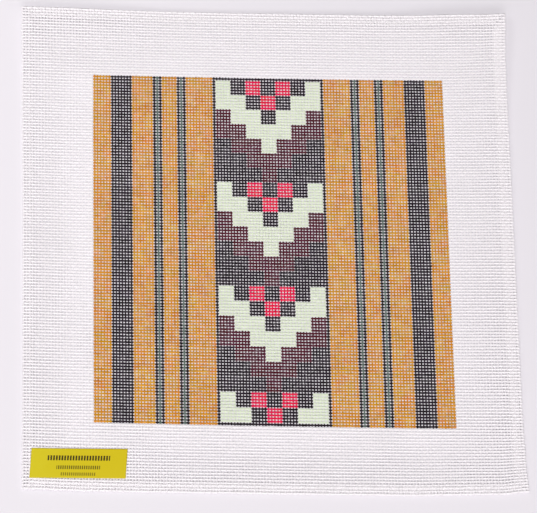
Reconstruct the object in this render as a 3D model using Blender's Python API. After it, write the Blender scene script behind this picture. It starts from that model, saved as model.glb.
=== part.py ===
# Needlepoint canvas panel: a square of stiff mono canvas, lying flat, with all four edges folded under and
# stitched down, and a small plain label stuck near the lower left corner.
# Metres, +Z up. The panel lies on z = 0 with its far edge at +Y and the origin under the middle of its box.
import math

import bmesh
import bpy
import numpy as np

# ---- driving dimensions ----
inch = 0.0254
threads_per_inch = 13
thread_pitch = inch / threads_per_inch
canvas_threads = 162
canvas_side = canvas_threads * thread_pitch
painted_threads = 117
left_margin = 23 * thread_pitch
right_margin = canvas_side - painted_threads * thread_pitch - left_margin
near_margin = 22 * thread_pitch
far_margin = canvas_side - painted_threads * thread_pitch - near_margin
thread_lean = 0.0388
row_bow = 0.00074

sheet_thickness = 0.0010
hem_width = 0.0090
hem_step = 0.0004
settle_width = 0.0250
lift_width = 0.0550

label_size = (0.0603, 0.0186)
label_centre = (-0.1173, -0.1409)
label_turn = math.radians(0.5)
label_skew = 0.041
label_thickness = 0.0010
label_cells = (16, 8)
label_reach = 0.0030
piece_gap = 0.0003

# How far each fold line lies outside the even square, from the start of the side to its end.
# Columns: share of the side's length, millimetres outwards.
left_fold = [(0.0, 0.4), (0.25, 0.45), (0.5, 0.8), (0.85, 1.8), (1.0, 1.9)]
right_fold = [(0.0, 1.1), (0.06, 0.0), (0.18, -0.8), (0.6, -0.7), (0.9, -0.9), (1.0, 0.1)]
near_fold = [(0.0, 0.15), (0.13, 0.6), (0.5, 0.05), (0.75, -0.2), (0.94, -1.5), (1.0, -3.3)]
far_fold = [(0.0, 0.15), (0.2, -0.4), (0.6, -0.65), (0.82, -0.9), (0.95, -0.4), (1.0, 0.1)]

# How far the far and the right edge stand off the surface. Columns: share of the length, millimetres up.
far_lift = [(0.0, 3.0), (0.08, 3.0), (0.35, 0.6), (0.7, 1.2), (0.95, 4.6), (1.0, 4.8)]
right_lift = [(0.0, 0.3), (0.3, 0.8), (0.75, 0.9), (1.0, 4.8)]

# Grid lines across the sheet, counted inwards from a fold.
rim_lines = [0.0, 0.00015, 0.0005, 0.0010, 0.0050, hem_width, hem_width + hem_step, 0.0130, 0.0180, 0.0250, 0.0344]
inner_cells = 18


def smooth(t):
    # 3t^2 - 2t^3 between 0 and 1
    t = min(max(t, 0.0), 1.0)
    return t * t * (3.0 - 2.0 * t)


def read_table(table, share):
    # Value at this share of the length, eased from one row to the next
    for (start, low), (end, high) in zip(table, table[1:]):
        if share <= end:
            return low + (high - low) * smooth((share - start) / (end - start))
    return table[-1][1]


def pull(distance, margin):
    # 1 at the fold, falling to 0 at the painted square, which keeps its straight sides
    return min(max(1.0 - distance / margin, 0.0), 1.0)


def place(u, v):
    # u and v run from 0 to the side's length, from the lower left fold; returns the point seen from above.
    # The upright threads lean left, and the rows of threads bow, their ends further away than their middle.
    half = canvas_side / 2
    across = u / canvas_side
    along = v / canvas_side
    x = u - half
    y = v - half
    x -= pull(u, left_margin) * read_table(left_fold, along) / 1000
    x += pull(canvas_side - u, right_margin) * read_table(right_fold, along) / 1000
    y -= pull(v, near_margin) * read_table(near_fold, across) / 1000
    y += pull(canvas_side - v, far_margin) * read_table(far_fold, across) / 1000
    return x - thread_lean * y, y + row_bow * (x / half) ** 2


def lift(u, v):
    # Height that the edges stand off the surface, easing to nothing towards the middle
    far = smooth(1.0 - (canvas_side - v) / lift_width) * read_table(far_lift, u / canvas_side)
    right = smooth(1.0 - (canvas_side - u) / lift_width) * read_table(right_lift, v / canvas_side)
    return max(far, right) / 1000


def edge_distance(u, v):
    return min(u, v, canvas_side - u, canvas_side - v)


def settle(distance):
    # 1 beside the hem, falling to 0 where the single layer lies on the surface
    return 1.0 - smooth((distance - hem_width) / settle_width)


def fold_round(distance):
    # Quarter circle of the fold, 0 at the rim and 1 a sheet's thickness in
    t = min(distance / sheet_thickness, 1.0)
    return math.sqrt(1.0 - (1.0 - t) ** 2)


def top_height(u, v):
    distance = edge_distance(u, v)
    rise = sheet_thickness * settle(distance) if distance > hem_width else sheet_thickness * fold_round(distance)
    return lift(u, v) + sheet_thickness + rise


def under_height(u, v):
    distance = edge_distance(u, v)
    if distance <= hem_width:
        return lift(u, v) + sheet_thickness * (1.0 - fold_round(distance))
    clear = smooth((distance - hem_width) / hem_step)
    return lift(u, v) + sheet_thickness * settle(distance) * clear


def grid_lines():
    # Close together at the hem, even across the field
    start = rim_lines[-1]
    inner = [start + (canvas_side - 2 * start) * i / inner_cells for i in range(1, inner_cells)]
    return rim_lines + inner + [canvas_side - line for line in reversed(rim_lines)]


def closed_sheet(name, columns, rows, spot, top, under):
    # A sheet between two height functions over a grid, closed round its edge
    mesh = bpy.data.meshes.new(name)
    bm = bmesh.new()
    layers = []
    for height in (under, top):
        layers.append([[bm.verts.new((*spot(u, v), height(u, v))) for u in columns] for v in rows])
    low, high = layers
    last_row = len(rows) - 1
    last_column = len(columns) - 1
    for j in range(last_row):
        for i in range(last_column):
            bm.faces.new((high[j][i], high[j][i + 1], high[j + 1][i + 1], high[j + 1][i]))
            bm.faces.new((low[j][i], low[j + 1][i], low[j + 1][i + 1], low[j][i + 1]))
    rim = [(0, i) for i in range(last_column)]
    rim += [(j, last_column) for j in range(last_row)]
    rim += [(last_row, i) for i in range(last_column, 0, -1)]
    rim += [(j, 0) for j in range(last_row, 0, -1)]
    for (j, i), (n, m) in zip(rim, rim[1:] + rim[:1]):
        bm.faces.new((low[j][i], low[n][m], high[n][m], high[j][i]))
    bmesh.ops.triangulate(bm, faces=bm.faces)
    bm.to_mesh(mesh)
    bm.free()
    sheet = bpy.data.objects.new(name, mesh)
    bpy.context.collection.objects.link(sheet)
    return sheet


def make_canvas():
    lines = grid_lines()
    return closed_sheet("canvas", lines, lines, place, top_height, under_height)


def make_label():
    # The label follows the canvas under it, so its heights are read from the canvas below each of its points
    width, depth = label_size
    across, along = label_cells
    columns = [width * (i / across - 0.5) for i in range(across + 1)]
    rows = [depth * (j / along - 0.5) for j in range(along + 1)]
    steps = (-label_reach, 0.0, label_reach)
    half = canvas_side / 2

    def spot(s, t):
        # Turned about its centre, and cut a little off square
        x = label_centre[0] + (s + label_skew * t) * math.cos(label_turn) - t * math.sin(label_turn)
        y = label_centre[1] + (s + label_skew * t) * math.sin(label_turn) + t * math.cos(label_turn)
        return x, y

    def beneath(s, t):
        # Highest canvas within reach of this point
        x, y = spot(s, t)
        upright = x + thread_lean * y
        u = upright + half
        v = y - row_bow * (upright / half) ** 2 + half
        return max(top_height(u + du, v + dv) for du in steps for dv in steps)

    def under(s, t):
        return beneath(s, t) + piece_gap

    def top(s, t):
        return beneath(s, t) + piece_gap + label_thickness

    return closed_sheet("label", columns, rows, spot, top, under)


def colour(thing, name, base, roughness):
    material = bpy.data.materials.new(name)
    material.use_nodes = True
    shader = material.node_tree.nodes["Principled BSDF"]
    shader.inputs["Base Color"].default_value = (*base, 1.0)
    shader.inputs["Roughness"].default_value = roughness
    shader.inputs["Metallic"].default_value = 0.0
    thing.data.materials.append(material)


def centre_over_origin(things):
    # Moves the meshes so that the box round them all is centred on the origin
    points = np.array([v.co for thing in things for v in thing.data.vertices])
    middle = (points.min(axis=0) + points.max(axis=0)) / 2
    for thing in things:
        for v in thing.data.vertices:
            v.co.x -= middle[0]
            v.co.y -= middle[1]


for thing in list(bpy.data.objects):
    bpy.data.objects.remove(thing)

canvas = make_canvas()
label = make_label()
colour(canvas, "sized_cotton_canvas", (0.86, 0.82, 0.86), 0.85)
colour(label, "yellow_label_paper", (0.63, 0.48, 0.03), 0.5)
centre_over_origin([canvas, label])
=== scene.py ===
# Painted needlepoint canvas lying on a pale table: open mono canvas woven thread by thread, its edges folded
# under and stitched, a striped chart painted in the middle and a small plain label in the corner.
import math

import bpy
import numpy as np
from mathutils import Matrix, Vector


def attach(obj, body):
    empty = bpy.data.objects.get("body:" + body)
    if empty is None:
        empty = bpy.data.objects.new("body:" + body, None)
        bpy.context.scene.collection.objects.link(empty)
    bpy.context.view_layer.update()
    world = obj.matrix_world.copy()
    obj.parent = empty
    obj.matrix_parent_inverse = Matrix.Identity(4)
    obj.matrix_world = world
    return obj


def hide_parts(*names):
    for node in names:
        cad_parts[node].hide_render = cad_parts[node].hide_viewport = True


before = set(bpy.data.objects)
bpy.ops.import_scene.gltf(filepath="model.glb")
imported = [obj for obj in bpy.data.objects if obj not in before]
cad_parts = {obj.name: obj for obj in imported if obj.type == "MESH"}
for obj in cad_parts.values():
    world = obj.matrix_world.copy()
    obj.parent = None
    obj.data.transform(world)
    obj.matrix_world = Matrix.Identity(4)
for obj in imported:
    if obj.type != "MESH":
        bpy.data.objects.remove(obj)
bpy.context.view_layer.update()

mm = 0.001
inch = 25.4


def linearOf(hexColour):
    # sRGB hex turned to linear: below 0.04045 divided by 12.92, above it ((c + 0.055) / 1.055) ^ 2.4
    parts = np.array([int(hexColour[k:k + 2], 16) for k in (0, 2, 4)]) / 255
    return (*np.where(parts <= 0.04045, parts / 12.92, ((parts + 0.055) / 1.055) ** 2.4).tolist(), 1.0)


# The cloth as a surface. Sizes are in mm, counts in threads
cloth = {
    "perInch": 13,  # the commonest mono canvas
    "threads": 162,  # fold to fold, both ways
    "painted": 117,  # 9 inches of paint
    "leftMargin": 23,  # threads between the left fold and the paint
    "nearMargin": 22,
    "lean": 0.0388,  # the upright threads drift left by this share of their length
    "bow": 0.74,  # the ends of a row of threads lie this much further away than its middle
    "sheet": 0.8,  # one layer, over two crossing threads
    "hem": 8.2,
    "settle": 25.0,  # run from the doubled hem down to the table
    "liftReach": 55.0,  # from a lifted edge in to where the cloth lies on the table
    "cockle": 0.22,  # slow unevenness of the stiff cloth
}
# The cockle's two waves. Columns: mm a radian across and along the cloth, start in radians
cockleWaves = [(17, 41, 0.0), (-57, 23, 1.3)]

# Columns: share of the side's length, mm outwards from the even square
leftFold = [(0.0, 0.4), (0.25, 0.45), (0.5, 0.8), (0.85, 1.8), (1.0, 1.9)]
rightFold = [(0.0, 1.1), (0.06, 0.0), (0.18, -0.8), (0.6, -0.7), (0.9, -0.9), (1.0, 0.1)]
nearFold = [(0.0, 0.15), (0.13, 0.6), (0.5, 0.05), (0.75, -0.2), (0.94, -1.5), (1.0, -3.3)]
farFold = [(0.0, 0.15), (0.2, -0.4), (0.6, -0.65), (0.82, -0.9), (0.95, -0.4), (1.0, 0.1)]

# Columns: share of the side's length, mm that the edge stands off the table
farLift = [(0.0, 3.0), (0.08, 3.0), (0.35, 0.6), (0.7, 1.2), (0.95, 4.6), (1.0, 4.8)]
rightLift = [(0.0, 0.3), (0.3, 0.8), (0.75, 0.9), (1.0, 4.8)]

# How far the layer folded under has slipped inwards, or below 0 outwards, which sets how well its holes meet
# those above
underSlip = {"left": 0.05, "right": 0.5, "near": 0.8, "far": -0.05}

pitch = inch / cloth["perInch"]
side = cloth["threads"] * pitch
leftMargin = cloth["leftMargin"] * pitch
nearMargin = cloth["nearMargin"] * pitch
rightMargin = side - cloth["painted"] * pitch - leftMargin
farMargin = side - cloth["painted"] * pitch - nearMargin
foldRadius = cloth["sheet"] / 2
quarterFold = foldRadius * math.pi / 2
flatRise = 0.99  # a rise above this is the flat top layer, not the bend


def ease(t):
    # 3t^2 - 2t^3 between 0 and 1
    t = np.clip(t, 0.0, 1.0)
    return t * t * (3.0 - 2.0 * t)


def readTable(table, share):
    # Value at a share of the length, eased from each row to the next
    shares, values = np.array(table).T
    share = np.clip(share, 0.0, 1.0)
    row = np.clip(np.searchsorted(shares, share, side="right") - 1, 0, len(shares) - 2)
    t = ease((share - shares[row]) / (shares[row + 1] - shares[row]))
    return values[row] + (values[row + 1] - values[row]) * t


def place(u, v):
    # Even square plus each fold's waver, which fades to nothing at the paint, then leaned over sideways, and
    # bowed: y + bow * (2 x / side)^2
    x = u - side / 2
    y = v - side / 2
    x = x - np.clip(1 - u / leftMargin, 0, 1) * readTable(leftFold, v / side)
    x = x + np.clip(1 - (side - u) / rightMargin, 0, 1) * readTable(rightFold, v / side)
    y = y - np.clip(1 - v / nearMargin, 0, 1) * readTable(nearFold, u / side)
    y = y + np.clip(1 - (side - v) / farMargin, 0, 1) * readTable(farFold, u / side)
    return x - cloth["lean"] * y, y + cloth["bow"] * (2 * x / side) ** 2


def boxMiddle():
    # Middle of the box round the outline, which the frame puts over the origin
    t = np.linspace(0, side, 400)
    start = np.zeros_like(t)
    stop = start + side
    x, y = place(np.concatenate([t, t, start, stop]), np.concatenate([start, stop, t, t]))
    return (x.min() + x.max()) / 2, (y.min() + y.max()) / 2


middleX, middleY = boxMiddle()


def lift(u, v):
    # The higher of the far and the right edge's lift, each easing to nothing inwards, plus the cockle, which
    # is the square of one wave times the other
    far = ease(1 - (side - v) / cloth["liftReach"]) * readTable(farLift, u / side)
    right = ease(1 - (side - u) / cloth["liftReach"]) * readTable(rightLift, v / side)
    one, other = [np.sin(u / across + v / along + start) for across, along, start in cockleWaves]
    return np.maximum(far, right) + cloth["cockle"] * (one * other) ** 2


def foldOver(s, slip):
    # s is the way in from the rim on the top layer, below 0 under the fold. A half circle joins the layers:
    # returns the way in seen from above, the height from -1 (under) to 1 (top) and the outward lean
    w = s - (cloth["sheet"] - quarterFold)
    angle = np.clip(w / foldRadius, -math.pi / 2, math.pi / 2)
    straight = np.maximum(np.abs(w) - quarterFold, 0)
    inward = cloth["sheet"] - foldRadius * np.cos(angle) + straight
    inward = inward + slip * ease(-w - quarterFold)
    return inward, np.sin(angle), np.cos(angle)


def clothPoint(u, v):
    # Point (mm) and unit normal of the cloth's middle surface at u, v, which run past the folds to the hem:
    # each way is folded over by itself, and the lower of the two rises is the height
    leftIn, leftRise, leftLean = foldOver(u, underSlip["left"])
    rightIn, rightRise, rightLean = foldOver(side - u, underSlip["right"])
    nearIn, nearRise, nearLean = foldOver(v, underSlip["near"])
    farIn, farRise, farLean = foldOver(side - v, underSlip["far"])
    isLeft = u < side / 2
    isNear = v < side / 2
    inU = np.where(isLeft, leftIn, rightIn)
    inV = np.where(isNear, nearIn, farIn)
    riseU = np.where(isLeft, leftRise, rightRise)
    riseV = np.where(isNear, nearRise, farRise)
    leanU = np.where(isLeft, -leftLean, rightLean)
    leanV = np.where(isNear, -nearLean, farLean)
    seenU = np.where(isLeft, inU, side - inU)
    seenV = np.where(isNear, inV, side - inV)
    # A layer folded under leans the other way, as a mirror image about its fold
    seenU = seenU + 2 * cloth["lean"] * np.where(riseV < 0, inV, 0) * np.where(isNear, 1, -1)
    seenV = seenV + 2 * cloth["lean"] * np.where(riseU < 0, inU, 0) * np.where(isLeft, 1, -1)
    x, y = place(seenU, seenV)
    rise = np.minimum(riseU, riseV)
    hemSettle = 1 - ease((np.minimum(inU, inV) - cloth["hem"]) / cloth["settle"])
    drop = np.where(rise > flatRise, cloth["sheet"] * (1 - hemSettle), 0)
    z = lift(seenU, seenV) + cloth["sheet"] * (1 + rise / 2) - drop
    normal = np.stack([leanU * (riseU < flatRise), leanV * (riseV < flatRise), rise], axis=-1)
    normal = normal / np.maximum(np.linalg.norm(normal, axis=-1, keepdims=True), 1e-6)
    return np.stack([x - middleX, y - middleY, z], axis=-1), normal


# One thread of the canvas, in mm, and how far it strays from an even one
thread = {
    "width": {"warp": 0.82, "weft": 1.05},
    "height": 0.36,
    "swing": 0.2,  # half the rise from under to over
    "flatTop": 1.25,  # above 1, a thread runs level for a while as it crosses
    "spread": 0.03,  # how far a whole thread sits off its place
    "waver": 0.035,
    "fatness": 0.035,  # share by which whole threads differ in size
    "thickThin": 0.07,  # share by which a thread swells and thins along its length
    "thickThinRun": 8.3,
}
# A thread's wander to the sides. Columns: mm a turn, share of the waver
waverRuns = [(41, 1.0), (13, 0.6), (4.7, 0.4)]

spareThreads = 5  # more than a hem holds
numberCount = cloth["threads"] + 2 * spareThreads
dice = np.random.default_rng(13)
habits = {
    way: {
        "phase": dice.uniform(0, 2 * math.pi, (numberCount, len(waverRuns) + 1)),
        "offset": dice.normal(0, thread["spread"], numberCount),
        "fat": dice.normal(0, thread["fatness"], numberCount),
    }
    for way in ("warp", "weft")
}


def alongRings(start, stop):
    # Two rings a crossing, a quarter pitch either side of it, between start and stop
    crossing = np.arange(-spareThreads, cloth["threads"] + spareThreads) + 0.5
    rings = np.sort(np.concatenate([crossing - 0.25, crossing + 0.25])) * pitch
    return rings[(rings > start) & (rings < stop)]


def foldRings():
    # Rings round the half circle of the fold, closer than on the flat
    return cloth["sheet"] - quarterFold + quarterFold * np.array([-1.0, -0.5, 0.0, 0.5, 1.0])


def threadTubes(numbers, along, way):
    # Tubes of four sides: cloth point + normal * swing * wave for the path, and an oblong of the thread's
    # width and height round it. numbers is (n,), along (n, m); returns points (n, m, 4, 3) and, the same
    # shape, where they are in the cloth, counted in threads
    isWarp = way == "warp"
    habit = {name: values[numbers + spareThreads] for name, values in habits[way].items()}
    phase = habit["phase"]
    turn = 2 * math.pi * along
    wander = sum(share * np.sin(turn / run + phase[:, k:k + 1]) for k, (run, share) in enumerate(waverRuns))
    sideways = habit["offset"][:, None] + thread["waver"] * wander
    swell = np.sin(turn / thread["thickThinRun"] + phase[:, -1:])
    stout = 1 + habit["fat"][:, None] + thread["thickThin"] * swell
    over = np.where(numbers % 2 == 0, 1.0, -1.0)[:, None] * (1 if isWarp else -1)
    wave = over * np.clip(thread["flatTop"] * np.cos(math.pi * (along / pitch - 0.5)), -1, 1)
    steady = ((numbers + 0.5) * pitch)[:, None] + sideways
    centre, normal = clothPoint(steady, along) if isWarp else clothPoint(along, steady)
    centre = centre + normal * (thread["swing"] * wave)[..., None]
    halfWidth = thread["width"][way] / 2
    sideDirection = np.array([1.0, 0.0, 0.0] if isWarp else [-cloth["lean"], 1.0, 0.0])
    toSide = sideDirection * (halfWidth * stout)[..., None]
    toTop = normal * (thread["height"] / 2 * stout)[..., None]
    # The corners are counted the other way round on the weft, so that its faces point outwards too
    turnRound = 1 if isWarp else -1
    corners = [(turnRound, -1), (turnRound, 1), (-turnRound, 1), (-turnRound, -1)]
    points = np.stack([centre + toSide * a + toTop * b for a, b in corners], axis=2)
    toCorner = halfWidth * np.array([a for a, b in corners])
    beside = (steady[..., None] + toCorner * stout[..., None]) / pitch
    ahead = np.broadcast_to(along[..., None] / pitch, beside.shape)
    counts = (beside, ahead) if isWarp else (ahead, beside)
    return points, np.stack([*counts, np.zeros_like(beside)], axis=-1)


def meshFromArrays(name, points, quads, uv):
    # Points in mm and quads, put straight into a smooth mesh with its map
    mesh = bpy.data.meshes.new(name)
    mesh.vertices.add(len(points))
    mesh.vertices.foreach_set("co", (points * mm).astype(np.float32).ravel())
    mesh.loops.add(quads.size)
    mesh.loops.foreach_set("vertex_index", quads.astype(np.int32).ravel())
    mesh.polygons.add(len(quads))
    mesh.polygons.foreach_set("loop_start", np.arange(0, quads.size, 4, dtype=np.int32))
    mesh.polygons.foreach_set("use_smooth", np.ones(len(quads), dtype=bool))
    layer = mesh.uv_layers.new(name="OFBake")
    layer.uv.foreach_set("vector", uv.astype(np.float32).ravel())
    mesh.update()
    mesh.validate()
    thing = bpy.data.objects.new(name, mesh)
    bpy.context.scene.collection.objects.link(thing)
    return thing


# A tube's strip of the map: share left bare at each side and each end, and length of an end face
strip = {"side": 0.06, "end": 0.01, "cap": 0.008}


def stripMaps(first, n, m, strips):
    # Maps for n tubes of m rings, one strip each. Strip k spans k to k + 1 of strips, its four walls beside
    # one another, and the way along runs from 0 to 1, with the end faces in the bare ends
    number = (first + np.arange(n))[:, None, None]
    wallWidth = (1 - 2 * strip["side"]) / 4
    low = (number + strip["side"] + wallWidth * np.arange(4)) / strips
    high = low + wallWidth / strips
    ring = (np.arange(m) / (m - 1) * (1 - 2 * strip["end"]) + strip["end"])[None, :, None]
    begin, end = ring[:, :-1], ring[:, 1:]
    corners = [(low, begin), (high, begin), (high, end), (low, end)]
    shape = (n, m - 1, 4)
    walls = np.stack([np.stack([np.broadcast_to(c, shape) for c in pair], -1) for pair in corners], -2)
    left, right = strip["side"], 1 - strip["side"]
    square = np.array([(left, 0.0), (right, 0.0), (right, strip["cap"]), (left, strip["cap"])])
    firstCaps = (square + number * (1, 0)) * (1 / strips, 1)
    lastCaps = firstCaps + (0, 1 - strip["end"])
    return [walls.reshape(-1, 2), np.stack([firstCaps, lastCaps], 1).reshape(-1, 2)]


def meshFromTubes(name, bundles):
    # Joins bundles of tubes: quads round and along each and a quad at both ends. A point keeps its place in
    # the cloth, counted in threads, which the paint is read from
    points, counts, quads, maps = [], [], [], []
    strips = sum(len(tubes) for tubes, _ in bundles)
    firstStrip = 0
    firstPoint = 0
    for tubes, tubeCounts in bundles:
        n, m = tubes.shape[:2]
        here = firstPoint + np.arange(n * m * 4).reshape(n, m, 4)
        after = np.roll(here, -1, axis=2)
        walls = np.stack([here[:, :-1], after[:, :-1], after[:, 1:], here[:, 1:]], axis=-1)
        caps = np.stack([here[:, 0, ::-1], here[:, -1]], axis=1)
        quads += [walls.reshape(-1, 4), caps.reshape(-1, 4)]
        maps += stripMaps(firstStrip, n, m, strips)
        points.append(tubes.reshape(-1, 3))
        counts.append(tubeCounts.reshape(-1, 3))
        firstPoint += n * m * 4
        firstStrip += n
    piece = meshFromArrays(name, np.concatenate(points), np.concatenate(quads), np.concatenate(maps))
    threadPlace = piece.data.attributes.new("threadPlace", "FLOAT_VECTOR", "POINT")
    threadPlace.data.foreach_set("vector", np.concatenate(counts).astype(np.float32).ravel())
    return piece


# How the hem ends, in mm
hemming = {
    "bendGap": 0.2,  # least run between a ring on the bend and one on the flat
    "leastShare": 0.12,  # share of the hem that a thread keeps at a corner's mitre
    "mitreGap": 0.6,  # between the mitre and the end of a thread that runs along the hem
    "rawEdge": 1.0,  # of the hem, too narrow for a thread that runs along it
}


def topThreads(numbers, way):
    # Whole threads: hem, fold, field, fold, hem. Near a corner the hem's run is cut short along the mitre
    bend = foldRings()
    gap = hemming["bendGap"]
    flat = alongRings(bend[-1] + gap, side - bend[-1] - gap)
    under = alongRings(-cloth["hem"], bend[0] - gap)
    base = np.concatenate([under, bend, flat, side - bend[::-1], side - under[::-1]])
    across = (numbers + 0.5) * pitch
    corner = np.minimum(across, side - across)
    kept = np.clip(corner / cloth["hem"], hemming["leastShare"], 1)[:, None]
    first, last = bend[0], side - bend[0]
    along = np.where(base < first, first + (base - first) * kept, base)
    along = np.where(along > last, last + (along - last) * kept, along)
    return threadTubes(numbers, along, way)


def underThreads(numbers, way):
    # Threads that lie wholly in the layer folded under, one bundle each, as the mitre gives each its length
    bundles = []
    for number in numbers:
        beyond = -(number + 0.5) if number < 0 else number + 0.5 - cloth["threads"]
        reach = beyond * pitch + hemming["mitreGap"]
        along = alongRings(reach, side - reach)[None]
        bundles.append(threadTubes(np.array([number]), along, way))
    return bundles


hemThreads = int((cloth["hem"] - hemming["rawEdge"]) / pitch)
third = cloth["threads"] // 3
lowHem = range(-hemThreads, 0)
highHem = range(cloth["threads"], cloth["threads"] + hemThreads)
# Columns: piece, way of its threads, whole threads, threads of the hem that run beside them
groups = [
    ("canvas_warp_left", "warp", np.arange(0, third), lowHem),
    ("canvas_warp_middle", "warp", np.arange(third, 2 * third), []),
    ("canvas_warp_right", "warp", np.arange(2 * third, 3 * third), highHem),
    ("canvas_weft_near", "weft", np.arange(0, third), lowHem),
    ("canvas_weft_middle", "weft", np.arange(third, 2 * third), []),
    ("canvas_weft_far", "weft", np.arange(2 * third, 3 * third), highHem),
]


def addNode(tree, kind, inputs=None, **settings):
    # One node: settings are its properties, inputs its sockets' values, or what they are linked from
    made = tree.nodes.new(kind)
    for name, value in settings.items():
        setattr(made, name, value)
    for socket, value in (inputs or {}).items():
        if isinstance(value, bpy.types.Node):
            value = value.outputs[0]
        if isinstance(value, bpy.types.NodeSocket):
            tree.links.new(value, made.inputs[socket])
        else:
            made.inputs[socket].default_value = value
    return made


def newMaterial(name):
    # A material with nothing but its shader and output; returns it with its tree and shader
    material = bpy.data.materials.new(name)
    material.use_nodes = True
    tree = material.node_tree
    tree.nodes.clear()
    shader = addNode(tree, "ShaderNodeBsdfPrincipled")
    addNode(tree, "ShaderNodeOutputMaterial", {"Surface": shader})
    return material, tree, shader


paint = {
    "ochre": "CE8E14",
    "charcoal": "170F14",
    "slate": "2A212F",  # thin violet scum that shows on the charcoal
    "sage": "5D6E64",
    "mint": "DFE8D2",
    "plum": "4E0F1E",
    "crimson": "E10846",
    "weftCotton": "FCF9FC",
    "weftShade": "F6F3F6",
    # Both warp colours are darker than the weft's: painted shade, standing for the shade the raised wefts
    # cast on the warps between them
    "warpCotton": "F4F0F4",  # darker than the weft: painted shade
    "warpShade": "EEEAEE",
}
# How the paint was put on. Noise is in cells a thread, so that a patch is about three threads, 6 mm, wide
brush = {
    "edge": 1.3,
    "overrun": 0.35,  # threads that an edge strays, both ways together
    "patch": 0.3,
    "ends": (0.3, 0.7),  # of the patches' noise, between which the next three run
    "value": (0.8, 1.2),
    "hue": (0.476, 0.524),
    "saturation": (0.86, 1.12),
    "scum": (0.4, 0.7),  # of the noise, from no scum to all of it
    "pale": (0.5, 0.75, 0.75),  # green from and up to which paint grows even, and how even it gets
    "ruddy": (0.4, 0.6, 0.6),  # the same for red less green
    "throughBack": 0.35,  # how much paint reaches the back of a thread
}

# The chart, read outwards from its middle column. Columns: first column, colour
stripes = [
    (0, "charcoal"), (19, "ochre"), (28, "charcoal"), (29, "sage"), (30, "charcoal"), (31, "ochre"),
    (36, "charcoal"), (37, "sage"), (38, "charcoal"), (39, "ochre"), (46, "charcoal"), (53, "ochre"),
]
# The band's chevrons, a row of charcoal above and below them. Counts are threads, repeat is blocks
band = {"block": 5, "repeat": 7, "halfWidth": 17, "margin": 1}
# With c blocks out from the middle and r blocks down, read at r + c. Columns: first r + c, colour
chevrons = [(0, "charcoal"), (1, "crimson"), (2, "charcoal"), (3, "mint"), (5, "plum"), (7, "charcoal")]


def steppedRamp(tree, count, stops, span):
    # Colour at a whole count from 0 to span, held from each stop to the next
    at = addNode(tree, "ShaderNodeMapRange", {0: count, 1: -0.5, 2: span - 0.5})
    ramp = addNode(tree, "ShaderNodeValToRGB", {0: at})
    bar = ramp.color_ramp
    bar.interpolation = "CONSTANT"
    bar.elements.remove(bar.elements[1])
    for first, colour in stops[1:]:
        bar.elements.new(first / span).color = linearOf(paint[colour])
    bar.elements[0].position = 0.0
    bar.elements[0].color = linearOf(paint[stops[0][1]])
    return ramp.outputs["Color"]


def chartColour(tree):
    # Column and row are the thread counts, a little noise added, floored. Outwards = |column - middle|,
    # down = top row - row. Stripes are read at outwards; in the band, c = floor((outwards + 2) / 5) and
    # r = floor((down - 1) / 5) mod 7 give the chevrons
    half = cloth["painted"] // 2
    middleColumn = cloth["leftMargin"] + half
    topRow = cloth["nearMargin"] + cloth["painted"] - 1
    where = addNode(tree, "ShaderNodeAttribute", attribute_name="threadPlace").outputs["Vector"]
    noise = addNode(tree, "ShaderNodeTexNoise", {"Vector": where, "Scale": brush["edge"], "Detail": 1.0})
    noise = noise.outputs["Color"]
    shift = addNode(tree, "ShaderNodeVectorMath", {0: noise, 1: (0.5, 0.5, 0.5)}, operation="SUBTRACT")
    overrun = (brush["overrun"],) * 3
    moved = addNode(tree, "ShaderNodeVectorMath", {0: shift, 1: overrun, 2: where}, operation="MULTIPLY_ADD")
    cell = addNode(tree, "ShaderNodeVectorMath", {0: moved}, operation="FLOOR")
    axes = addNode(tree, "ShaderNodeSeparateXYZ", {0: cell})
    out = addNode(tree, "ShaderNodeMath", {0: axes.outputs["X"], 1: middleColumn}, operation="SUBTRACT")
    out = addNode(tree, "ShaderNodeMath", {0: out}, operation="ABSOLUTE")
    down = addNode(tree, "ShaderNodeMath", {0: topRow, 1: axes.outputs["Y"]}, operation="SUBTRACT")
    fromCentre = addNode(tree, "ShaderNodeMath", {0: down, 1: half}, operation="SUBTRACT")
    fromCentre = addNode(tree, "ShaderNodeMath", {0: fromCentre}, operation="ABSOLUTE")
    farther = addNode(tree, "ShaderNodeMath", {0: out, 1: fromCentre}, operation="MAXIMUM")
    inside = addNode(tree, "ShaderNodeMath", {0: farther, 1: half + 0.5}, operation="LESS_THAN")
    stripe = steppedRamp(tree, out, stripes, half + 1)
    c = addNode(tree, "ShaderNodeMath", {0: out, 1: band["block"] // 2}, operation="ADD")
    c = addNode(tree, "ShaderNodeMath", {0: c, 1: band["block"]}, operation="DIVIDE")
    c = addNode(tree, "ShaderNodeMath", {0: c}, operation="FLOOR")
    r = addNode(tree, "ShaderNodeMath", {0: down, 1: band["margin"]}, operation="SUBTRACT")
    r = addNode(tree, "ShaderNodeMath", {0: r, 1: band["block"]}, operation="DIVIDE")
    r = addNode(tree, "ShaderNodeMath", {0: r}, operation="FLOOR")
    r = addNode(tree, "ShaderNodeMath", {0: r, 1: band["repeat"]}, operation="FLOORED_MODULO")
    k = addNode(tree, "ShaderNodeMath", {0: r, 1: c}, operation="ADD")
    mostOut = (band["halfWidth"] + band["block"] // 2) // band["block"]
    figure = steppedRamp(tree, k, chevrons, band["repeat"] + mostOut + 1)
    inBand = addNode(tree, "ShaderNodeMath", {0: out, 1: band["halfWidth"] + 0.5}, operation="LESS_THAN")
    halfHeight = half - band["margin"]
    inHeight = addNode(tree, "ShaderNodeMath", {0: fromCentre, 1: halfHeight + 0.5}, operation="LESS_THAN")
    inFigure = addNode(tree, "ShaderNodeMath", {0: inBand, 1: inHeight}, operation="MULTIPLY")
    chart = addNode(tree, "ShaderNodeMix", {0: inFigure, 6: stripe, 7: figure}, data_type="RGBA")
    return where, chart.outputs[2], inside


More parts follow.
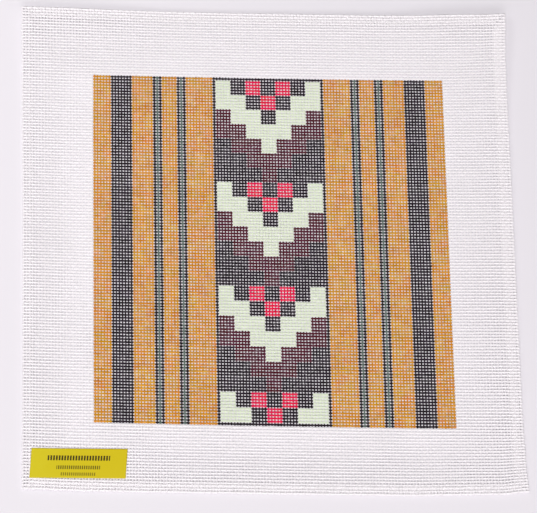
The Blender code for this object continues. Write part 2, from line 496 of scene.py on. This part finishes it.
def unevenPaint(tree, where, chart):
    # Hand-mixed paint: value, hue and saturation each run between their two ends by a noise of their own,
    # and scum is added. Pale paint and crimson, whose red is far above its green, go on evenly
    cells = {"Vector": where, "Scale": brush["patch"], "Detail": 5.0, "Roughness": 0.75}
    patch = addNode(tree, "ShaderNodeTexNoise", cells)
    drift = addNode(tree, "ShaderNodeSeparateColor", {0: patch.outputs["Color"]}).outputs
    low, high = brush["ends"]
    value, hue, saturation = [
        addNode(tree, "ShaderNodeMapRange", {0: by, 1: low, 2: high, 3: brush[name][0], 4: brush[name][1]})
        for by, name in ((patch, "value"), (drift["Green"], "hue"), (drift["Blue"], "saturation"))
    ]
    turned = {"Hue": hue, "Saturation": saturation, "Value": value, "Color": chart}
    mixed = addNode(tree, "ShaderNodeHueSaturation", turned)
    low, high = brush["scum"]
    scum = addNode(tree, "ShaderNodeMapRange", {0: drift["Red"], 1: low, 2: high})
    mixed = addNode(tree, "ShaderNodeMix", {0: scum, 6: mixed, 7: linearOf(paint["slate"])},
                    data_type="RGBA", blend_type="ADD")
    charted = addNode(tree, "ShaderNodeSeparateColor", {0: chart}).outputs
    redder = addNode(tree, "ShaderNodeMath", {0: charted["Red"], 1: charted["Green"]}, operation="SUBTRACT")
    pale, ruddy = [
        addNode(tree, "ShaderNodeMapRange", {0: amount, 1: low, 2: high, 4: most})
        for amount, (low, high, most) in ((charted["Green"], brush["pale"]), (redder, brush["ruddy"]))
    ]
    even = addNode(tree, "ShaderNodeMath", {0: pale, 1: ruddy}, operation="MAXIMUM")
    mixed = addNode(tree, "ShaderNodeMix", {0: even, 6: mixed.outputs[2], 7: chart}, data_type="RGBA")
    return mixed.outputs[2]


def sizedCottonCanvas(name, way, fibreStretch):
    # Cotton mono thread stiffened with size, painted by hand from the front: chalky and matte, with fine
    # fibre along the thread and paint that pools unevenly in patches, thinner on the back
    material, tree, shader = newMaterial(name)
    where, chart, inside = chartColour(tree)
    painted = unevenPaint(tree, where, chart)
    along = addNode(tree, "ShaderNodeMapping", {"Vector": where, "Scale": fibreStretch})
    fibre = addNode(tree, "ShaderNodeTexNoise", {"Vector": along, "Scale": 1.0, "Detail": 3.0})
    # On the warp these colours are darker than on the weft: painted shade between the wefts
    light, dark = linearOf(paint[way + "Cotton"]), linearOf(paint[way + "Shade"])
    cotton = addNode(tree, "ShaderNodeMix", {0: fibre, 6: light, 7: dark}, data_type="RGBA")
    facing = addNode(tree, "ShaderNodeNewGeometry")
    up = addNode(tree, "ShaderNodeSeparateXYZ", {0: facing.outputs["Normal"]}).outputs["Z"]
    front = addNode(tree, "ShaderNodeMapRange", {0: up, 1: -0.6, 2: 0.0, 3: brush["throughBack"], 4: 1.0})
    coat = addNode(tree, "ShaderNodeMath", {0: inside, 1: front}, operation="MULTIPLY")
    colour = addNode(tree, "ShaderNodeMix", {0: coat, 6: cotton.outputs[2], 7: painted}, data_type="RGBA")
    rough = addNode(tree, "ShaderNodeMapRange", {0: fibre, 3: 0.72, 4: 0.92})
    bump = addNode(tree, "ShaderNodeBump", {"Strength": 0.5, "Distance": 0.08 * mm, "Height": fibre})
    tree.links.new(colour.outputs[2], shader.inputs["Base Color"])
    tree.links.new(rough.outputs[0], shader.inputs["Roughness"])
    tree.links.new(bump.outputs[0], shader.inputs["Normal"])
    shader.inputs["Specular IOR Level"].default_value = 0.3
    return material


def weave():
    # Six bundles of threads, each under the limit of faces. Fibre is fine across a thread, long along it
    made = []
    warpMaterial = sizedCottonCanvas("sized_cotton_warp_painted", "warp", (6.0, 1.2, 1.0))
    weftMaterial = sizedCottonCanvas("sized_cotton_weft_painted", "weft", (1.2, 6.0, 1.0))
    for name, way, top, under in groups:
        piece = meshFromTubes(name, [topThreads(top, way)] + underThreads(under, way))
        piece.data.materials.append(warpMaterial if way == "warp" else weftMaterial)
        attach(piece, "root")
        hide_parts("canvas")
        made.append(piece)
        print("woven", name, len(piece.data.polygons) * 2, "triangles")
    return made


# The hems' sewing, in mm. Heights are from the middle of the top layer
stitching = {
    "inset": 5.6,  # from the fold
    "length": 2.5,
    "thick": 0.28,
    "height": {"top": 0.42, "under": -1.06},
    "dip": {"top": -0.75, "under": 0.6},  # towards each other, at a needle hole
    "ply": 0.4,
    "light": "FBF9FB",
    "dark": "EFEBEF",
}
# One stitch from hole to hole. Columns: share of its length, share of the dip
stitchRings = [(0.0, 1.0), (0.14, 0.08), (0.5, 0.0), (0.86, 0.08)]


def stitchTube(ahead, inset, isWarpWay, height):
    # A thread along one hem: the cloth point at inset, raised by normal * height, and a square round it
    if isWarpWay:
        point, normal = clothPoint(np.full_like(ahead, inset), ahead)
        sideways = np.array([1.0, 0.0, 0.0])
    else:
        point, normal = clothPoint(ahead, np.full_like(ahead, inset))
        sideways = np.array([0.0, -1.0, 0.0])
    centre = point + normal * height[:, None]
    half = stitching["thick"] / 2
    corners = [(1, -1), (1, 1), (-1, 1), (-1, -1)]
    ring = [centre + sideways * half * a + normal * half * b for a, b in corners]
    return np.stack(ring, axis=1)[None]


def polyesterSewingThread():
    # Spun polyester, two-ply: a little brighter and smoother than the cotton, with the plies' slight mottle
    material, tree, shader = newMaterial("white_polyester_sewing_thread")
    where = addNode(tree, "ShaderNodeTexCoord").outputs["Object"]
    ply = addNode(tree, "ShaderNodeTexNoise", {"Vector": where, "Scale": 1 / (stitching["ply"] * mm)})
    light, dark = linearOf(stitching["light"]), linearOf(stitching["dark"])
    tint = addNode(tree, "ShaderNodeMix", {0: ply, 6: light, 7: dark}, data_type="RGBA")
    tree.links.new(tint.outputs[2], shader.inputs["Base Color"])
    shader.inputs["Roughness"].default_value = 0.55
    return material


def hemStitching():
    # Machine stitches round all four hems: on each side one thread on top and one underneath, which sink
    # towards each other at every needle hole
    shares, dips = np.array(stitchRings).T
    count = int((side - 2 * stitching["inset"]) / stitching["length"])
    start = (side - count * stitching["length"]) / 2
    ahead = start + (np.arange(count)[:, None] + shares).ravel() * stitching["length"]
    sunk = np.tile(dips, count)
    bundles = []
    for isWarpWay in (True, False):
        for inset in (stitching["inset"], side - stitching["inset"]):
            for layer in ("top", "under"):
                height = stitching["height"][layer] + sunk * stitching["dip"][layer]
                tube = stitchTube(ahead, inset, isWarpWay, height)
                bundles.append((tube, np.zeros_like(tube)))
    piece = meshFromTubes("hem_stitching", bundles)
    piece.data.materials.append(polyesterSewingThread())
    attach(piece, "root")
    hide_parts("canvas")
    print("hems stitched", len(piece.data.polygons) * 2, "triangles")
    return piece


canvasPieces = weave()
stitches = hemStitching()

# The label, in mm
label = {
    "width": 60.3,
    "depth": 18.6,
    "right": -117.3,  # middle, from the middle of the cloth
    "up": -140.9,
    "turn": math.radians(0.5),
    "skew": 0.041,  # cut a little off square
    "paper": 0.22,
    "clear": 0.06,  # above the top of the threads
    "ripple": 0.035,  # of the paper over the weave
    "cells": (96, 30),
    "frontMap": 0.48,  # share of the map's height that the front takes
    "backMap": 0.51,  # where the back begins on it
    "mottle": 5.0,
    "yellow": "CEC11E",
    "goldenYellow": "CDBA15",
    "ink": "2E2712",
}
# Plain printed ticks. Columns: mm up from the lower edge, mm across the whole row, tick, step, height, ink
labelRows = [
    (12.6, 39.2, 1.1, 1.75, 3.1, 0.95),
    (6.7, 27.3, 0.8, 1.35, 2.3, 0.8),
    (2.5, 22.0, 0.75, 1.3, 2.0, 0.65),
]


def labelPoint(s, t, extra):
    # s, t in mm from the label's middle, skewed and turned, then laid on the canvas at its height plus extra
    cosine, sine = math.cos(label["turn"]), math.sin(label["turn"])
    s = s + label["skew"] * t
    x = label["right"] + s * cosine - t * sine
    y = label["up"] + s * sine + t * cosine
    upright = x + cloth["lean"] * y
    u = upright + side / 2
    v = y - cloth["bow"] * (2 * upright / side) ** 2 + side / 2
    onCloth = clothPoint(u, v)[0]
    ripple = label["ripple"] * np.cos(2 * math.pi * u / pitch) * np.cos(2 * math.pi * v / pitch)
    z = onCloth[..., 2] + cloth["sheet"] / 2 + label["clear"] + ripple + extra
    return np.stack([x - middleX, y - middleY, z], axis=-1)


def makeLabel():
    # Two grids, front and back, joined round the rim
    across, along = label["cells"]
    s = (np.arange(across + 1) / across - 0.5) * label["width"]
    t = (np.arange(along + 1) / along - 0.5) * label["depth"]
    s, t = np.meshgrid(s, t)
    front = labelPoint(s, t, label["paper"])
    back = labelPoint(s, t, 0.0)
    n = (across + 1) * (along + 1)
    index = np.arange(n).reshape(along + 1, across + 1)
    frontQuads = np.stack([index[:-1, :-1], index[:-1, 1:], index[1:, 1:], index[1:, :-1]], -1)
    frontQuads = frontQuads.reshape(-1, 4)
    backQuads = frontQuads[:, ::-1] + n
    rim = np.concatenate([index[0, :-1], index[:-1, -1], index[-1, :0:-1], index[:0:-1, 0]])
    rimQuads = np.stack([rim + n, np.roll(rim, -1) + n, np.roll(rim, -1), rim], -1)
    points = np.concatenate([front.reshape(-1, 3), back.reshape(-1, 3)])
    quads = np.concatenate([frontQuads, backQuads, rimQuads])
    flat = np.stack([s / label["width"] + 0.5, t / label["depth"] + 0.5], -1).reshape(-1, 2)
    frontMap = flat * (1, label["frontMap"])
    backMap = frontMap + (0, label["backMap"])
    return meshFromArrays("label_paper", points, quads, np.concatenate([frontMap, backMap])[quads.ravel()])


def satinLabelPaper():
    # Printed self-adhesive paper, satin: yellow ink that turns more golden towards one end, with a faint
    # mottle and rows of dark ticks. A row is |t - row| < height / 2, |s - middle| < row / 2 and s mod step <
    # tick
    material, tree, shader = newMaterial("printed_label_paper")
    ownMap = addNode(tree, "ShaderNodeUVMap", uv_map="OFBake")
    size = (label["width"], label["depth"] / label["frontMap"], 0.0)
    spot = addNode(tree, "ShaderNodeVectorMath", {0: ownMap, 1: size}, operation="MULTIPLY")
    axes = addNode(tree, "ShaderNodeSeparateXYZ", {0: spot}).outputs
    middle = addNode(tree, "ShaderNodeMath", {0: axes["X"], 1: label["width"] / 2}, operation="SUBTRACT")
    middle = addNode(tree, "ShaderNodeMath", {0: middle}, operation="ABSOLUTE")
    printed = 0.0
    for row, across, tick, step, tall, ink in labelRows:
        inRow = addNode(tree, "ShaderNodeMath", {0: axes["Y"], 1: row, 2: tall / 2}, operation="COMPARE")
        inSpan = addNode(tree, "ShaderNodeMath", {0: middle, 1: across / 2}, operation="LESS_THAN")
        along = addNode(tree, "ShaderNodeMath", {0: axes["X"], 1: step}, operation="MODULO")
        inTick = addNode(tree, "ShaderNodeMath", {0: along, 1: tick}, operation="LESS_THAN")
        both = addNode(tree, "ShaderNodeMath", {0: inRow, 1: inSpan}, operation="MULTIPLY")
        both = addNode(tree, "ShaderNodeMath", {0: both, 1: ink}, operation="MULTIPLY")
        printed = addNode(tree, "ShaderNodeMath", {0: both, 1: inTick, 2: printed}, operation="MULTIPLY_ADD")
    cells = {"Vector": spot, "Scale": 1 / label["mottle"], "Detail": 3.0}
    mottle = addNode(tree, "ShaderNodeTexNoise", cells)
    # The yellow turns more golden from the left end to the right
    towardsGold = addNode(tree, "ShaderNodeMapRange", {0: axes["X"], 2: label["width"]})
    towardsGold = addNode(tree, "ShaderNodeMath", {0: mottle, 1: 0.5, 2: towardsGold}, operation="MULTIPLY_ADD")
    fresh, golden, dark = [linearOf(label[name]) for name in ("yellow", "goldenYellow", "ink")]
    yellow = addNode(tree, "ShaderNodeMix", {0: towardsGold, 6: fresh, 7: golden}, data_type="RGBA").outputs[2]
    colour = addNode(tree, "ShaderNodeMix", {0: printed, 6: yellow, 7: dark}, data_type="RGBA")
    rough = addNode(tree, "ShaderNodeMapRange", {0: mottle, 3: 0.42, 4: 0.55})
    tree.links.new(colour.outputs[2], shader.inputs["Base Color"])
    tree.links.new(rough.outputs[0], shader.inputs["Roughness"])
    shader.inputs["Specular IOR Level"].default_value = 0.12
    return material


labelPiece = makeLabel()
labelPiece.data.materials.append(satinLabelPaper())
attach(labelPiece, "root")
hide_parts("label")
print("label laid")

# The table and the light, in metres and watts
studio = {
    "floor": 4.0,
    "floorColour": "E4E1E7",
    "world": 0.12,
    "worldColour": "F6F2F8",
}
# Oblong lamps that face the middle of the cloth. Columns: name, place, width, height, power, colour
lamps = [
    ("flash", (-0.24, -1.8, 5.6), 0.8, 0.8, 236.0, "FFFDFC"),
    ("window", (0.2, -5.2, 4.0), 6.0, 3.2, 170.0, "FFFCFC"),
    ("corner", (-0.5, 0.3, 0.6), 0.25, 0.25, 1.15, "FFFDFC"),
]


def whiteTable():
    # White laminate, smooth and a little dull: a level square under the cloth
    half = studio["floor"] / 2
    mesh = bpy.data.meshes.new("floor")
    corners = [(-half, -half, 0), (half, -half, 0), (half, half, 0), (-half, half, 0)]
    mesh.from_pydata(corners, [], [(0, 1, 2, 3)])
    floor = bpy.data.objects.new("floor", mesh)
    bpy.context.scene.collection.objects.link(floor)
    material, _, shader = newMaterial("white_laminate_table")
    shader.inputs["Base Color"].default_value = linearOf(studio["floorColour"])
    shader.inputs["Roughness"].default_value = 0.6
    mesh.materials.append(material)


def pointAt(direction):
    # Euler angles that turn -Z along direction and keep +Y up
    return Vector(direction).to_track_quat("-Z", "Y").to_euler()


def softLight():
    # The lamps, each turned to look at the origin, and an even pale world
    for name, spot, wide, high, power, colour in lamps:
        data = bpy.data.lights.new(name, "AREA")
        data.shape = "RECTANGLE"
        data.size = wide
        data.size_y = high
        data.energy = power
        data.color = linearOf(colour)[:3]
        lamp = bpy.data.objects.new(name, data)
        lamp.location = spot
        lamp.rotation_euler = pointAt(-np.array(spot))
        bpy.context.scene.collection.objects.link(lamp)
    world = bpy.data.worlds.new("studio")
    world.use_nodes = True
    bpy.context.scene.world = world
    background = world.node_tree.nodes["Background"]
    background.inputs["Color"].default_value = linearOf(studio["worldColour"])
    background.inputs["Strength"].default_value = studio["world"]


whiteTable()
softLight()
bpy.context.scene.view_settings.view_transform = "Standard"
print("table and lamps set")

# The camera looks down on the cloth from in front. Sizes in mm
view = {
    "tilt": math.radians(12.25),  # from straight down
    "swing": math.radians(1.02),  # round to the right
    "distance": 1258.3,
    "right": -1.65,  # aim, from the middle of the paint
    "up": -4.85,
    "lens": 131.4,
    "sensor": 36.0,
}


def aimCamera():
    # Aim = the middle of the paint, moved by right and up; place = aim + distance * (sin swing sin tilt,
    # -cos swing sin tilt, cos tilt)
    halfPaint = cloth["painted"] * pitch / 2
    paintX, paintY = place(np.array(leftMargin + halfPaint), np.array(nearMargin + halfPaint))
    aim = np.array([paintX - middleX + view["right"], paintY - middleY + view["up"], 0.0])
    back = np.array([
        math.sin(view["swing"]) * math.sin(view["tilt"]),
        -math.cos(view["swing"]) * math.sin(view["tilt"]),
        math.cos(view["tilt"]),
    ])
    data = bpy.data.cameras.new("camera")
    data.lens = view["lens"]
    data.sensor_width = view["sensor"]
    camera = bpy.data.objects.new("camera", data)
    camera.location = (aim + back * view["distance"]) * mm
    camera.rotation_euler = pointAt(-back)
    bpy.context.scene.collection.objects.link(camera)
    bpy.context.scene.camera = camera


aimCamera()
print("camera aimed")
